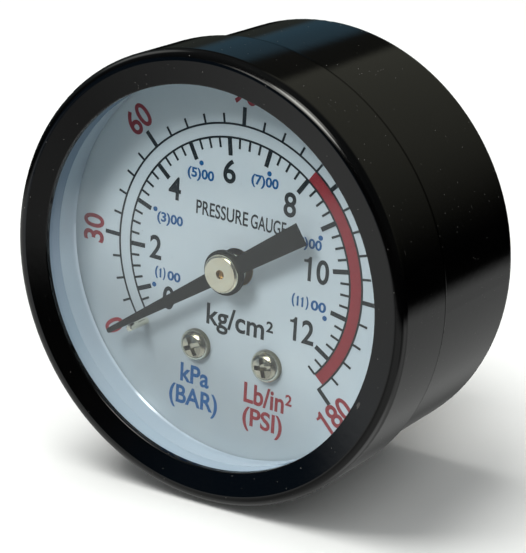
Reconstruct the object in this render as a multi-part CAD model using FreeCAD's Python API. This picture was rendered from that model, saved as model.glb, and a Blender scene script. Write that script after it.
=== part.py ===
import FreeCAD, Part
import math
import os

# Bourdon tube pressure gauge with a rear threaded connection, one STEP file per piece.
# Modelled with the gauge axis along Z: x right, y up the dial, h (height) along the axis from
# the front face of the dial, + towards the viewer. Angles are in degrees from +X. At the end
# each piece is turned to X right, Y to the rear, Z up, with the origin on the sealing shoulder.

Vector = FreeCAD.Vector
AXIS = (0.0, 0.0)
UP = Vector(0, 0, 1)


def polar(radius, angle, centre=AXIS):
    turn = math.radians(angle)
    return (centre[0] + radius * math.cos(turn), centre[1] + radius * math.sin(turn))


# ---- driving dimensions, mm; a pair of heights is the (rear, front) of a layer
SHOULDER_H = -27.2       # sealing shoulder where the thread starts
GAP = 0.05               # axial clearance between moving pieces
RUN = 0.03               # radial running clearance
OVERLAP = 0.1            # how far stepped cylinders reach into each other

CASE_R = 25.95
CASE_WALL = 0.75
CASE_BACK_H = -19.2
CASE_RIM_H = 3.6
CASE_CORNER = 1.15
CASE_HOLE_R = 8.35
CASE_SCREW_R = 1.25
CASE_SCREWS = [(-10.7, 0), (10.7, 0)]
BEZEL_R = 26.75
BEZEL_CORNER = 0.95
BEZEL_REAR_CORNER = 0.5
BEZEL_FACE_H = 7.5
BEZEL_OPEN_R = 22.7
BEZEL_LIP = 0.15         # rounding of the front edge of the opening
BEZEL_LIP_H = 6.93
BEZEL_REAR_H = -2.1
WINDOW_R = 25.6
WINDOW_TOP_H = 6.3
WINDOW_UNDER_H = 4.4
WINDOW_CHAMFER = 0.35
SKIRT_R = 22.9           # inside of the rim behind the window
SKIRT_CORNER = 0.3
SKIRT_REAR_H = 0.3

DIAL_R = 24.6
DIAL_T = 0.5
DIAL_HOLE_R = 2.3
DIAL_SCREW_R = 0.85
DIAL_SCREWS = [(-5.05, -10.9), (5.05, -10.9)]
STANDOFF_SPIGOT_R = 0.9
STOP_R = 0.42
STOP_CLOCK = -128.1      # clock angle of the zero stop pin
STOP_PIN = polar(16.1, 90 - STOP_CLOCK)
STOP_TOP_H = 3.5

REST_CLOCK = -125.0      # clock angle of the pointer at rest
BLADE_H = 2.35
BLADE_T = 0.35
TIP_AT = 20.1            # reach of the pointer tip
TIP_HALF = 0.30
TAIL_AT = 12.2           # reach of the pointer tail
TAIL_HALF = 1.37
HUB_TOP_H = 3.4
HUB_R = 2.3
HUB_NECK_R = 1.2
HUB_CORNER = 0.3
BOSS_R = 2.7

MODULE = 0.25            # of both gears
PRESSURE_ANGLE = math.radians(20.0)
TOOTH_THINNING = 0.05
PINION_TEETH = 12
SECTOR_TEETH = 72
SECTOR_ADDENDUM = 0.18
SECTOR_DEDENDUM = 0.32
PIVOT_ANGLE = -45.0      # direction of the sector pivot from the spindle
PIVOT = polar(MODULE * (PINION_TEETH + SECTOR_TEETH) / 2.0, PIVOT_ANGLE)
TAIL = polar(3.0992, -114.015, PIVOT)    # link screw on the tail of the sector
TIP_PIN = (12.5448, -4.7093)             # link pin on the end of the tube
LINK_EYE = (TAIL[0] + 0.0166, TAIL[1] - 0.0822)  # link eye, resting off its screw centre
LINK_PLAY = 0.10         # radial play of the link eye on its screw
LINK_END_R = 1.3
LINK_PIN_R = 0.6
PIVOT_R = 0.5            # thin shaft ends in the plates
SHAFT_R = 0.8            # pinion shaft between the plates
POINTER_SHAFT_R = 0.7
POINTER_SEAT_H = 2.85
SECTOR_SHAFT_R = 0.9

TUBE_R = 18.5            # centre line radius of the Bourdon tube
TUBE_MID_H = -8.25
TUBE_W = 6.5             # oval section, along the axis
TUBE_T = 3.0             # oval section, radial
TUBE_WALL = 0.35
TUBE_END = -17.0         # angle of the free end
TUBE_ROOT = 264.0        # angle of the end held in the socket

BACK_PLATE = (-13.0, -12.0)
FRONT_PLATE = (-5.0, -4.0)
SECTOR = (-10.9, -9.9)   # layer of the sector gear and of the ear on the tube end
LINK = (SECTOR[1] + GAP, SECTOR[1] + GAP + 0.6)
PIN_HEAD = (LINK[1] + GAP, LINK[1] + GAP + 0.5)
PILLARS = [(-7.0, -7.0), (-7.0, 7.0), (8.5, 6.0)]
PILLAR_SPIGOT_R = 0.9
PLATE_SCREW_R = 0.75
MOVEMENT_SCREWS = [(-6.3, 3.2), (-6.3, -3.2)]
MOVEMENT_SCREW_R = 1.0

HEX_AF = 14.0
HEX_FRONT_H = -18.4
FLANGE_FRONT_H = -15.0
TOWER_SIDE_Y = -21.5     # lowest face of the socket tower
TOWER_FRONT_H = -4.5
THREAD_R = 6.5785        # G 1/4 major radius
THREAD_ROOT_R = 5.7225
THREAD_PITCH = 1.337
THREAD_LEN = 11.0
BORE_R = 1.5
CROSS_R = 0.8            # cross hole of the pressure passage
CROSS_X = -0.6
CROSS_H = -16.7
RISER_R = 1.0
RISER = (-1.2, -18.46)

SPRING_INNER_R = 1.55    # also the outside of the collet
SPRING_OUTER_R = 5.4
SPRING_T = 0.12
SPRING_TURNS = 5.0
SPRING_START = 200.0
SPRING_REAR_H = -7.6
SPRING_W = 0.5


# ---- helpers
def cyl(radius, h0, h1, at=AXIS):
    return Part.makeCylinder(radius, h1 - h0, Vector(at[0], at[1], h0), UP)


def drill(shape, radius, layer, *centres):
    """Cut through-holes, running 1 mm past both faces of the layer."""
    for at in centres:
        shape = shape.cut(cyl(radius, layer[0] - 1, layer[1] + 1, at))
    return shape


def box(x0, x1, y0, y1, h0, h1):
    return Part.makeBox(x1 - x0, y1 - y0, h1 - h0, Vector(x0, y0, h0))


def round_uprights(block, radius, y_limit=math.inf):
    """Fillet the edges along the axis that lie below y_limit."""
    bounds = [(edge, edge.BoundBox) for edge in block.Edges]
    return block.makeFillet(radius, [e for e, b in bounds if b.ZLength > 0.5 and b.YMin < y_limit])


def rounded(r, h, before, after):
    """Path items rounding the corner (r, h); before and after are offsets to the arc's ends."""
    inset = 1 - math.sqrt(0.5)
    return [(r + before[0], h + before[1]),
            (r + after[0], h + after[1],
             r + (before[0] + after[0]) * inset, h + (before[1] + after[1]) * inset)]


def revolve(path):
    """Revolve a closed path of (r, h), or (r, h, mid_r, mid_h) where an arc leads to it."""
    edges = []
    for start, end in zip(path, path[1:] + path[:1]):
        p, q = Vector(start[0], 0, start[1]), Vector(end[0], 0, end[1])
        if len(end) > 2:
            edges.append(Part.Arc(p, Vector(end[2], 0, end[3]), q).toShape())
        else:
            edges.append(Part.makeLine(p, q))
    return Part.Face(Part.Wire(edges)).revolve(Vector(0, 0, 0), UP, 360)


def prism(points, h0, h1):
    corners = [Vector(x, y, h0) for x, y in points]
    return Part.Face(Part.makePolygon(corners + corners[:1])).extrude(Vector(0, 0, h1 - h0))


def bar(start, end, half_width, h0, h1):
    (x0, y0), (x1, y1) = start, end
    scale = half_width / math.hypot(x1 - x0, y1 - y0)
    side_x, side_y = -(y1 - y0) * scale, (x1 - x0) * scale
    return prism([(x0 + side_x, y0 + side_y), (x0 - side_x, y0 - side_y),
                  (x1 - side_x, y1 - side_y), (x1 + side_x, y1 + side_y)], h0, h1)


def fuse(*shapes):
    return shapes[0].multiFuse(list(shapes[1:])).removeSplitter()


def turned(shape, angle):
    result = shape.copy()
    result.rotate(Vector(0, 0, 0), UP, angle)
    return result


def pan_screw(at, seat, head_r, head_h, shank_r, length, turn):
    """Cross-recessed pan-head screw, head to the front; seat is the height of its bearing face."""
    head = revolve([(0, 0), (head_r, 0), (head_r, 0.4 * head_h),
                    (0.55 * head_r, 0.93 * head_h, 0.87 * head_r, 0.74 * head_h),
                    (0, head_h, 0.28 * head_r, 0.985 * head_h)])
    arm, half = 0.60 * head_r, 0.15 * head_r
    core = 1.55 * half
    recess = (head_h - 0.55 * head_h, head_h + 1)
    cross = fuse(box(-arm, arm, -half, half, *recess), box(-half, half, -arm, arm, *recess),
                 turned(box(-core, core, -core, core, *recess), 45))
    screw = fuse(head.cut(turned(cross, turn)), cyl(shank_r, -length, 0.05))
    screw.translate(Vector(at[0], at[1], seat))
    return screw


def swept_oval(growth, angle0, angle1):
    """Tube section, grown all round, swept about the axis between two angles."""
    half_t = TUBE_T / 2 + growth
    half_w = TUBE_W / 2 + growth
    flat = half_w - half_t
    outer, inner = TUBE_R + half_t, TUBE_R - half_t
    rear, front = TUBE_MID_H - flat, TUBE_MID_H + flat
    solid_path = [Vector(outer, 0, rear), Vector(outer, 0, front),
                  Vector(inner, 0, front), Vector(inner, 0, rear)]
    front_mid = Vector(TUBE_R, 0, TUBE_MID_H + half_w)
    rear_mid = Vector(TUBE_R, 0, TUBE_MID_H - half_w)
    p = solid_path
    wire = Part.Wire([Part.makeLine(p[0], p[1]), Part.Arc(p[1], front_mid, p[2]).toShape(),
                      Part.makeLine(p[2], p[3]), Part.Arc(p[3], rear_mid, p[0]).toShape()])
    return turned(Part.Face(wire).revolve(Vector(0, 0, 0), UP, angle1 - angle0), angle0)


def tooth_points(teeth, addendum, dedendum, centre):
    """Outline of one involute tooth about the angle centre, in order of rising angle."""
    pitch_r = MODULE * teeth / 2.0
    base_r = pitch_r * math.cos(PRESSURE_ANGLE)
    root_r, tip_r = pitch_r - dedendum, pitch_r + addendum

    def involute(angle):
        return math.tan(angle) - angle

    def half_angle(r):
        at_pitch = math.pi / (2.0 * teeth) - TOOTH_THINNING / (2.0 * pitch_r)
        pressure = math.acos(min(1.0, base_r / max(r, base_r)))
        return math.degrees(at_pitch + involute(PRESSURE_ANGLE) - involute(pressure))

    start_r = max(root_r, base_r)
    radii = [start_r + (tip_r - start_r) * k / 5.0 for k in range(6)]
    if start_r - root_r >= 1e-6:
        radii.insert(0, root_r)
    return ([polar(r, centre - half_angle(r)) for r in radii]
            + [polar(r, centre + half_angle(r)) for r in reversed(radii)])


# ---- case, bezel, window
def case_shell():
    inner_corner = CASE_CORNER - CASE_WALL
    shell = revolve([
        (CASE_HOLE_R, CASE_BACK_H),
        *rounded(CASE_R, CASE_BACK_H, (-CASE_CORNER, 0), (0, CASE_CORNER)),
        (CASE_R, CASE_RIM_H), (CASE_R - CASE_WALL, CASE_RIM_H),
        *rounded(CASE_R - CASE_WALL, CASE_BACK_H + CASE_WALL,
                 (0, inner_corner), (-inner_corner, 0)),
        (CASE_HOLE_R, CASE_BACK_H + CASE_WALL)])
    return drill(shell, 1.6, (CASE_BACK_H, CASE_BACK_H + CASE_WALL), *CASE_SCREWS)


def bezel_ring():
    return revolve([
        (CASE_R, BEZEL_REAR_H),
        *rounded(BEZEL_R, BEZEL_REAR_H, (-BEZEL_REAR_CORNER, 0), (0, BEZEL_REAR_CORNER)),
        *rounded(BEZEL_R, BEZEL_FACE_H, (0, -BEZEL_CORNER), (-BEZEL_CORNER, 0)),
        *rounded(BEZEL_OPEN_R, BEZEL_LIP_H, (BEZEL_LIP, 0), (0, -BEZEL_LIP)),
        (BEZEL_OPEN_R, WINDOW_TOP_H), (25.05, 6.78), (CASE_R, 6.0, 25.58, 6.55)])


def window_lens():
    return revolve([
        (0, WINDOW_UNDER_H),
        *rounded(SKIRT_R, WINDOW_UNDER_H, (-SKIRT_CORNER, 0), (0, -SKIRT_CORNER)),
        (23.5, SKIRT_REAR_H), (24.5, SKIRT_REAR_H), (24.55, WINDOW_UNDER_H),
        (WINDOW_R, WINDOW_UNDER_H), (WINDOW_R, WINDOW_TOP_H - WINDOW_CHAMFER),
        (WINDOW_R - WINDOW_CHAMFER, WINDOW_TOP_H), (0, WINDOW_TOP_H)])


def window_gasket():
    inner, outer = 24.7, 25.75
    return revolve([(inner, CASE_RIM_H), (outer, CASE_RIM_H),
                    (outer, WINDOW_UNDER_H), (inner, WINDOW_UNDER_H)])


# ---- dial and what holds it
def dial_plate():
    layer = (-DIAL_T, 0)
    dial = drill(cyl(DIAL_R, *layer), DIAL_HOLE_R, layer, AXIS)
    dial = drill(dial, 1.15, layer, *DIAL_SCREWS)
    return drill(dial, STOP_R, layer, STOP_PIN)


def stop_pin():
    pin = cyl(STOP_R, -DIAL_T, STOP_TOP_H, STOP_PIN)
    bounds = [(edge, edge.BoundBox) for edge in pin.Edges]
    pin = pin.makeChamfer(0.12, [e for e, b in bounds
                                 if abs(b.ZMax - STOP_TOP_H) < 1e-6 and b.ZLength < 1e-6])
    return fuse(pin, cyl(0.8, -DIAL_T - 0.35, -DIAL_T, STOP_PIN))


def dial_standoffs():
    return Part.makeCompound([
        fuse(cyl(1.5, FRONT_PLATE[1], -DIAL_T, at),
             cyl(STANDOFF_SPIGOT_R, FRONT_PLATE[0], FRONT_PLATE[1] + OVERLAP, at)
             ).cut(cyl(DIAL_SCREW_R, -3.3, 0, at)) for at in DIAL_SCREWS])


def dial_screws():
    return Part.makeCompound([
        pan_screw(at, 0.0, head_r=1.95, head_h=1.25, shank_r=DIAL_SCREW_R, length=3.0, turn=turn)
        for at, turn in zip(DIAL_SCREWS, (28, 12))])


# ---- socket: flange, tower, hexagon and thread in one piece
def hexagon():
    corners = [polar(HEX_AF / math.sqrt(3), 60 * k + 30) for k in range(6)]
    bevel = revolve([(0, SHOULDER_H), (7.1, SHOULDER_H), (8.2, SHOULDER_H + 0.62),
                     (8.2, -17), (0, -17)])
    return prism(corners, SHOULDER_H, HEX_FRONT_H).common(bevel)


def threaded_stem():
    """Stem with ring grooves for the thread and a chamfered end."""
    chamfer = 0.75
    end = SHOULDER_H - THREAD_LEN
    path = [(0, SHOULDER_H), (THREAD_R, SHOULDER_H)]
    h = SHOULDER_H - 0.35
    while h - 0.25 - THREAD_PITCH > end + 0.7:
        path += [(THREAD_R, h - 0.25), (THREAD_ROOT_R, h - 0.25 - 0.45),
                 (THREAD_ROOT_R, h - 0.25 - 0.637), (THREAD_R, h - THREAD_PITCH)]
        h -= THREAD_PITCH
    return revolve(path + [(THREAD_R, end + chamfer), (THREAD_R - chamfer, end), (0, end)])


def tower_block(y1, h0, h1):
    return round_uprights(box(-9, 4, TOWER_SIDE_Y, y1, h0, h1), 1.5, y_limit=-21)


def socket():
    flange = cyl(13.0, CASE_BACK_H + CASE_WALL, FLANGE_FRONT_H)
    foot = tower_block(-8, HEX_FRONT_H, FLANGE_FRONT_H)
    tower = tower_block(-13.5, FLANGE_FRONT_H, TOWER_FRONT_H)
    pad = box(-9.5, 4, -5.5, 5.5, FLANGE_FRONT_H, BACK_PLATE[0])
    body = fuse(flange, foot, tower, pad, hexagon(), threaded_stem())
    # pressure passage: inlet bore, cross hole to the tower, riser to the root of the tube
    body = body.cut(cyl(BORE_R, SHOULDER_H - THREAD_LEN - 1, -15.9))
    body = body.cut(Part.makeCylinder(CROSS_R, 22.5, Vector(CROSS_X, 0, CROSS_H),
                                      Vector(0, -1, 0)))
    body = body.cut(cyl(RISER_R, -16.8, -4, RISER))
    body = body.cut(swept_oval(0, 225.0, TUBE_ROOT))
    for at in CASE_SCREWS:
        body = body.cut(cyl(CASE_SCREW_R, -18.5, -15.6, at))
    for at in MOVEMENT_SCREWS:
        body = body.cut(cyl(MOVEMENT_SCREW_R, -16.0, BACK_PLATE[0] + 1, at))
    return body.removeSplitter()


def passage_plugs():
    cross_plug = Part.makeCylinder(CROSS_R, 1.5, Vector(CROSS_X, TOWER_SIDE_Y, CROSS_H),
                                   Vector(0, 1, 0))
    return Part.makeCompound([cross_plug, cyl(RISER_R, -4.95, TOWER_FRONT_H, RISER)])


def case_screws():
    screws = []
    for (x, y), turn in zip(CASE_SCREWS, (-20, 20)):
        screw = pan_screw(AXIS, 0, head_r=2.7, head_h=1.6, shank_r=CASE_SCREW_R,
                          length=3.3, turn=turn)
        screw.rotate(Vector(0, 0, 0), Vector(1, 0, 0), 180)  # head to the rear
        screw.translate(Vector(x, y, CASE_BACK_H))
        screws.append(screw)
    return Part.makeCompound(screws)


# ---- Bourdon tube, its end cap and the link
def bourdon_tube():
    outer = swept_oval(0, TUBE_END - 3, TUBE_ROOT - 1.0)
    return outer.cut(swept_oval(-TUBE_WALL, TUBE_END - 4, TUBE_ROOT + 1.0))


def tube_end_cap():
    pocket = swept_oval(0, TUBE_END - 3, TUBE_END + 4)
    cap = swept_oval(0.6, TUBE_END - 7, TUBE_END + 2).cut(pocket)
    ear = fuse(bar(polar(17.0, TUBE_END - 4.8), TIP_PIN, LINK_END_R, *SECTOR),
               cyl(LINK_END_R, *SECTOR, TIP_PIN)).cut(pocket)
    return drill(fuse(cap, ear), LINK_PIN_R, SECTOR, TIP_PIN)


def pin_shank(at):
    return cyl(LINK_PIN_R, SECTOR[0], PIN_HEAD[0], at)


def pin_head(at):
    return cyl(1.1, *PIN_HEAD, at)


def tip_pin():
    return fuse(pin_shank(TIP_PIN), pin_head(TIP_PIN))


def link_screw():
    x, y = TAIL
    slot = box(x - 2, x + 2, y - 0.15, y + 0.15, LINK[1] + 0.3, LINK[1] + 1)
    return fuse(pin_shank(TAIL), pin_head(TAIL).cut(slot))


def link_arm():
    link = fuse(cyl(LINK_END_R, *LINK, TIP_PIN), cyl(LINK_END_R, *LINK, LINK_EYE),
                bar(TIP_PIN, LINK_EYE, 0.55, *LINK))
    link = drill(link, LINK_PIN_R + RUN, LINK, TIP_PIN)
    return drill(link, LINK_PIN_R + LINK_PLAY, LINK, LINK_EYE)


# ---- gears and their shafts
def sector_gear():
    pitch_r = MODULE * SECTOR_TEETH / 2.0
    inner_r = pitch_r - 1.5
    root_r = pitch_r - SECTOR_DEDENDUM
    centres = [85.0 + 360.0 / SECTOR_TEETH * k for k in range(12)]
    low, high = centres[0] - 2.8, centres[-1] + 2.8
    rim = [polar(root_r, low)]
    for centre in centres:
        rim += tooth_points(SECTOR_TEETH, SECTOR_ADDENDUM, SECTOR_DEDENDUM, centre)
    rim.append(polar(root_r, high))
    rim += [polar(inner_r, low + (high - low) * k / 30.0) for k in reversed(range(31))]
    gear = prism(rim, *SECTOR)
    gear.translate(Vector(*PIVOT, 0))
    arms = [bar(PIVOT, polar(inner_r + 0.5, angle, PIVOT), 0.8, *SECTOR)
            for angle in (centres[0], centres[-1])]
    gear = fuse(gear, cyl(2.3, *SECTOR, PIVOT), cyl(1.3, *SECTOR, TAIL),
                bar(PIVOT, TAIL, 1.1, *SECTOR), *arms)
    gear = drill(gear, SECTOR_SHAFT_R, SECTOR, PIVOT)
    return drill(gear, LINK_PIN_R, SECTOR, TAIL)


def sector_arbor():
    return fuse(cyl(SECTOR_SHAFT_R, BACK_PLATE[1] + GAP, SECTOR[1], PIVOT),
                cyl(0.6, SECTOR[1] - OVERLAP, FRONT_PLATE[0] - GAP, PIVOT),
                cyl(PIVOT_R, BACK_PLATE[0] + 0.1, FRONT_PLATE[1] - 0.1, PIVOT))


def pinion_arbor():
    pitch = 360.0 / PINION_TEETH
    outline = []
    for k in range(PINION_TEETH):
        outline += tooth_points(PINION_TEETH, MODULE, 1.25 * MODULE,
                                PIVOT_ANGLE + pitch / 2 + pitch * k)
    return fuse(prism(outline, SECTOR[0] - 0.3, SECTOR[1] + 0.5),
                cyl(SHAFT_R, BACK_PLATE[1] + GAP, FRONT_PLATE[0] - GAP),
                cyl(PIVOT_R, BACK_PLATE[0] + 0.1, -11),
                cyl(POINTER_SHAFT_R, -6, POINTER_SEAT_H),
                revolve([(0, 2.8), (0.42, 2.8), (0.42, 2.95), (0.27, 3.08), (0, 3.08)]))


# ---- movement plates, pillars, screws
def movement_plate(y0, layer, shaft_r):
    plate = round_uprights(box(-9.5, 10.8, y0, 9.2, *layer), 2.0)
    plate = drill(plate, shaft_r + RUN, layer, AXIS)
    return drill(plate, PIVOT_R + RUN, layer, PIVOT)


def movement_back_plate():
    plate = movement_plate(-10.5, BACK_PLATE, PIVOT_R)
    plate = drill(plate, PILLAR_SPIGOT_R, BACK_PLATE, *PILLARS)
    return drill(plate, 1.1, BACK_PLATE, *MOVEMENT_SCREWS)


def movement_front_plate():
    plate = movement_plate(-13.0, FRONT_PLATE, POINTER_SHAFT_R)
    plate = drill(plate, STANDOFF_SPIGOT_R, FRONT_PLATE, *DIAL_SCREWS)
    return drill(plate, PLATE_SCREW_R, FRONT_PLATE, *PILLARS)


def movement_pillars():
    return Part.makeCompound([
        fuse(cyl(1.4, BACK_PLATE[1], FRONT_PLATE[0], at),
             cyl(PILLAR_SPIGOT_R, BACK_PLATE[0], BACK_PLATE[1] + OVERLAP, at)
             ).cut(cyl(PLATE_SCREW_R, -8.2, -4, at)) for at in PILLARS])


def plate_screws():
    return Part.makeCompound([
        pan_screw(at, FRONT_PLATE[1], head_r=1.5, head_h=0.9, shank_r=PLATE_SCREW_R,
                  length=4.0, turn=10 * at[0]) for at in PILLARS])


def movement_screws():
    return Part.makeCompound([
        pan_screw(at, BACK_PLATE[1], head_r=1.8, head_h=0.95, shank_r=MOVEMENT_SCREW_R,
                  length=3.9, turn=17 * at[1]) for at in MOVEMENT_SCREWS])


# ---- hairspring
def hairspring_collet():
    layer = (-7.8, -6.9)
    return drill(cyl(SPRING_INNER_R, *layer), SHAFT_R, layer, AXIS)


def spiral(offset):
    steps = 180
    points = []
    for k in range(steps + 1):
        t = k / steps
        r = SPRING_INNER_R + (SPRING_OUTER_R - SPRING_INNER_R) * t + offset
        x, y = polar(r, SPRING_START + 360.0 * SPRING_TURNS * t)
        points.append(Vector(x, y, SPRING_REAR_H))
    curve = Part.BSplineCurve()
    curve.interpolate(points)
    return curve.toShape(), points[0], points[-1]


def hairspring():
    outer, outer_start, outer_end = spiral(SPRING_T)
    inner, inner_start, inner_end = spiral(0.0)
    wire = Part.Wire([outer, Part.makeLine(outer_end, inner_end),
                      inner, Part.makeLine(inner_start, outer_start)])
    return Part.Face(wire).extrude(Vector(0, 0, SPRING_W))


def hairspring_stud():
    radius = 0.55
    at = polar(SPRING_OUTER_R + SPRING_T + radius, SPRING_START + 360.0 * SPRING_TURNS)
    return cyl(radius, -7.9, FRONT_PLATE[0], at)


# ---- pointer
def pointer_blade():
    layer = (BLADE_H, BLADE_H + BLADE_T)
    tip_y = TIP_AT - TIP_HALF
    tip_half = TIP_HALF + TIP_HALF * (TAIL_HALF - TIP_HALF) / (TIP_AT + TAIL_AT)
    blade = prism([(-tip_half, tip_y), (tip_half, tip_y),
                   (TAIL_HALF, -TAIL_AT), (-TAIL_HALF, -TAIL_AT)], *layer)
    blade = fuse(blade, cyl(tip_half, *layer, (0, tip_y)), cyl(BOSS_R, *layer))
    return turned(drill(blade, HUB_NECK_R, layer, AXIS), -REST_CLOCK)


def pointer_hub():
    blade_top = BLADE_H + BLADE_T
    return revolve([
        (POINTER_SHAFT_R, 0.9), (1.9, 0.9), (1.9, BLADE_H), (HUB_NECK_R, BLADE_H),
        (HUB_NECK_R, blade_top), (HUB_R, blade_top),
        *rounded(HUB_R, HUB_TOP_H, (0, -HUB_CORNER), (-HUB_CORNER, 0)),
        (0.55, HUB_TOP_H), (0.55, POINTER_SEAT_H), (POINTER_SHAFT_R, POINTER_SEAT_H)])


# ---- each piece is turned into the gauge's frame and saved under its function's name
PIECES = (
    case_shell, bezel_ring, window_lens, window_gasket, dial_plate, stop_pin, dial_standoffs,
    dial_screws, socket, passage_plugs, case_screws, bourdon_tube, tube_end_cap, tip_pin,
    link_arm, link_screw, sector_gear, sector_arbor, pinion_arbor, movement_back_plate,
    movement_front_plate, movement_pillars, plate_screws, movement_screws, hairspring_collet,
    hairspring, hairspring_stud, pointer_blade, pointer_hub)

os.makedirs("parts", exist_ok=True)
for piece in PIECES:
    shape = piece().copy()
    shape.rotate(Vector(0, 0, 0), Vector(1, 0, 0), 90)
    shape.translate(Vector(0, SHOULDER_H, 0))
    shape.exportStep("parts/%s.step" % piece.__name__)
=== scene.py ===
"""Looks, printed dial and studio for a round pressure gauge.

The gauge axis is the Y axis: the dial faces the viewer at -Y, +X is to its right and +Z is up
its face. The frame is in metres; the dial print is laid out in millimetres.
"""
import bmesh
import bpy
import math
from functools import partialmethod
from mathutils import Matrix, Vector


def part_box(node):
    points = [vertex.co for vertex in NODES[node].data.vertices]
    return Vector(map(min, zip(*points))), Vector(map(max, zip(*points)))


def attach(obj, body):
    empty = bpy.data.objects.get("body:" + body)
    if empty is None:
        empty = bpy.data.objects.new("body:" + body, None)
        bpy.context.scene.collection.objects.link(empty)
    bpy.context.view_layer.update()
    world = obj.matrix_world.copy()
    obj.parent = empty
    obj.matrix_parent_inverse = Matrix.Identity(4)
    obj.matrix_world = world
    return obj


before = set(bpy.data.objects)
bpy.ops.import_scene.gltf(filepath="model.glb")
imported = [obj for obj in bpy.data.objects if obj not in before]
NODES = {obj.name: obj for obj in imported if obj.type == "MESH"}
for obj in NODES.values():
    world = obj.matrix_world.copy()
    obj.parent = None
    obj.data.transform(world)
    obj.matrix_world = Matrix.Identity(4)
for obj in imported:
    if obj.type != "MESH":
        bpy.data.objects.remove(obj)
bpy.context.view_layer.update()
MM = 0.001
DIAL_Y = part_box("dial_plate")[0].y      # front face of the dial


def dial_point(x, y, height):
    """Dial millimetres (right, up, towards the viewer) to the frame."""
    return Vector((x * MM, DIAL_Y - height * MM, y * MM))


# ------------------------------------------------------------------ shader nodes
class Shader:
    """An emptied node tree, with short calls that add nodes and return their output."""

    def __init__(self, tree):
        self.nodes = tree.nodes
        self.links = tree.links
        self.nodes.clear()

    def feed(self, socket, value):
        """Link a socket or set its value; a colour may leave out its alpha."""
        if isinstance(value, bpy.types.NodeSocket):
            self.links.new(value, socket)
        elif socket.type == "RGBA" and len(value) == 3:
            socket.default_value = (*value, 1)
        else:
            socket.default_value = value

    def add(self, kind, inputs=None, **settings):
        node = self.nodes.new(kind)
        for key, value in settings.items():
            setattr(node, key, value)
        for key, value in (inputs or {}).items():
            self.feed(node.inputs[key], value)
        return node

    def calc(self, operation, first, second=0.0, clamp=False):
        inputs = {0: first, 1: second}
        return self.add("ShaderNodeMath", inputs, operation=operation, use_clamp=clamp).outputs[0]

    plus = partialmethod(calc, "ADD")
    minus = partialmethod(calc, "SUBTRACT")
    times = partialmethod(calc, "MULTIPLY")
    over = partialmethod(calc, "DIVIDE")
    above = partialmethod(calc, "GREATER_THAN")
    below = partialmethod(calc, "LESS_THAN")
    larger = partialmethod(calc, "MAXIMUM")

    def object_coords(self):
        return self.add("ShaderNodeTexCoord").outputs["Object"]

    def place(self, scale=(1000, 1000, 1000), location=(0, 0, 0), rotation=(0, 0, 0)):
        """Object coordinates, in millimetres unless scaled otherwise."""
        return self.add("ShaderNodeMapping", {
            "Vector": self.object_coords(), "Scale": scale,
            "Location": location, "Rotation": rotation}).outputs[0]

    def split(self, vector):
        return self.add("ShaderNodeSeparateXYZ", {"Vector": vector}).outputs

    def red(self, colour):
        return self.add("ShaderNodeSeparateColor", {"Color": colour}).outputs[0]

    def radius(self, x, z):
        """Distance from the gauge axis."""
        return self.calc("SQRT", self.plus(self.times(x, x), self.times(z, z)))

    def dot(self, vector, direction):
        return self.add("ShaderNodeVectorMath", {0: vector, 1: direction},
                        operation="DOT_PRODUCT").outputs["Value"]

    def noise(self, vector, scale, detail=4.0):
        return self.add("ShaderNodeTexNoise", {
            "Vector": vector, "Scale": scale, "Detail": detail, "Roughness": 0.55}).outputs["Fac"]

    def ramp(self, factor, stops):
        """Colour ramp; each stop is a position and a colour or a grey level."""
        node = self.add("ShaderNodeValToRGB", {"Fac": factor})
        elements = node.color_ramp.elements
        while len(elements) < len(stops):
            elements.new(0.5)
        for element, (position, colour) in zip(elements, stops):
            if isinstance(colour, float):
                colour = (colour,) * 3
            element.position = position
            element.color = (*colour, 1)
        return node.outputs["Color"]

    def mix(self, factor, first, second, mode="MIX"):
        return self.add("ShaderNodeMix", {0: factor, 6: first, 7: second},
                        data_type="RGBA", blend_type=mode).outputs[2]

    def mix_shaders(self, factor, first, second):
        return self.add("ShaderNodeMixShader", {0: factor, 1: first, 2: second}).outputs[0]

    def smooth(self, value, across, to=(0.0, 1.0)):
        """Smooth passage from to[0] to to[1] while the value runs across a range."""
        return self.add("ShaderNodeMapRange", {
            "Value": value, "From Min": across[0], "From Max": across[1],
            "To Min": to[0], "To Max": to[1]}, interpolation_type="SMOOTHSTEP").outputs[0]

    def bump(self, height, strength, distance):
        return self.add("ShaderNodeBump", {
            "Height": height, "Strength": strength, "Distance": distance}).outputs[0]

    def specks(self, vector, density, size, keep):
        """Sparse round specks: 1 inside a speck, 0 elsewhere."""
        cells = self.add("ShaderNodeTexVoronoi", {"Vector": vector, "Scale": density})
        near = self.below(cells.outputs["Distance"], size)
        return self.times(near, self.below(self.red(cells.outputs["Color"]), keep))

    def principled(self, **inputs):
        """Principled shader; underscores stand for the spaces in its socket names."""
        return self.add("ShaderNodeBsdfPrincipled", {
            key.replace("_", " "): value for key, value in inputs.items()}).outputs[0]

    def surface(self, shader):
        self.add("ShaderNodeOutputMaterial", {"Surface": shader})


def new_material(name):
    material = bpy.data.materials.new(name)
    material.use_nodes = True
    return material, Shader(material.node_tree)


# ------------------------------------------------------------------ black paint
# Bezel section in mm; heights are measured forwards from the datum.
BEZEL_DATUM_Y = -27.2
CORNER_RADIUS, CORNER_HEIGHT = 25.8, 6.55       # centre of the rounded front corner
LEAD_RADIUS = 25.5                              # where the lead-in to the corner starts
# mm outwards from LEAD_RADIUS, extra outward lean of the normal
CORNER_LEAD = [(0.0, 0.0), (0.12, 0.03), (0.3, 0.15), (0.465, 0.11), (0.625, 0.04), (0.8, 0.0)]


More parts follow.
